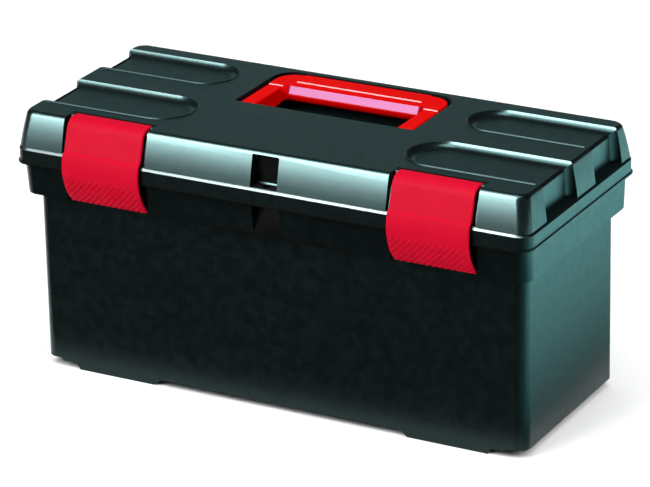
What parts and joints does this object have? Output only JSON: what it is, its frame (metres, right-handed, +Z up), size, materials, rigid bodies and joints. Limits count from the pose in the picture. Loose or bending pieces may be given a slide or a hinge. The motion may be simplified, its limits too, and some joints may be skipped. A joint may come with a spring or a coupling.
{
  "type": "toolbox with tray",
  "caption": "Moulded rectangular toolbox with a stepped collar, hinged ribbed lid, snap latches, fold-flat carrying handle, padlock recess and lift-out tray.",
  "frame": {"origin": "middle of the box's outline, on the plane its feet stand on", "axes": "+X along the box to the right of someone facing the latches, -Y towards that person, +Z up"},
  "size_m": [0.5, 0.2272, 0.243],
  "materials": {
    "black_plastic": "fine moulded grain, satin on the lid's front face",
    "latch_plastic": "satin moulded plastic",
    "handle_plastic": "glossy moulded plastic",
    "tray_plastic": "fine moulded grain",
    "divider_plastic": "satin moulded plastic",
    "steel": "drawn wire"
  },
  "bodies": {
    "box": {"body_shell": "black_plastic", "hinge_pin_left": "steel", "hinge_pin_right": "steel"},
    "lid": {"lid_shell": "black_plastic", "latch_pin_left": "steel", "latch_pin_right": "steel"},
    "latch_left": {"latch_left": "latch_plastic"},
    "latch_right": {"latch_right": "latch_plastic"},
    "handle": {"handle": "handle_plastic", "handle_pin_left": "steel", "handle_pin_right": "steel"},
    "tray": {"tray": "tray_plastic", "tray_divider_1": "divider_plastic", "tray_divider_2": "divider_plastic", "tray_divider_3": "divider_plastic", "tray_divider_4": "divider_plastic"}
  },
  "joints": [
    {"name": "lid_hinge", "type": "hinge", "parent": "box", "child": "lid", "pos_m": [0, 0.1096, 0.1955], "axis": [-1, 0, 0], "range_deg": [0, 105]},
    {"name": "latch_left_hinge", "type": "hinge", "parent": "lid", "child": "latch_left", "pos_m": [-0.1585, -0.086, 0.24], "axis": [-1, 0, 0], "range_deg": [0, 95]},
    {"name": "latch_right_hinge", "type": "hinge", "parent": "lid", "child": "latch_right", "pos_m": [0.1585, -0.086, 0.24], "axis": [-1, 0, 0], "range_deg": [0, 95]},
    {"name": "handle_hinge", "type": "hinge", "parent": "lid", "child": "handle", "pos_m": [0, 0.013, 0.2345], "axis": [1, 0, 0], "range_deg": [0, 90]},
    {"name": "tray_lift", "type": "slide", "parent": "box", "child": "tray", "axis": [0, 0, 1], "range_m": [0, 0.065]}
  ],
  "couplings": [
    {"joint": "tray_lift", "follows": "lid_hinge", "m_per_rad": 0.035}
  ]
}
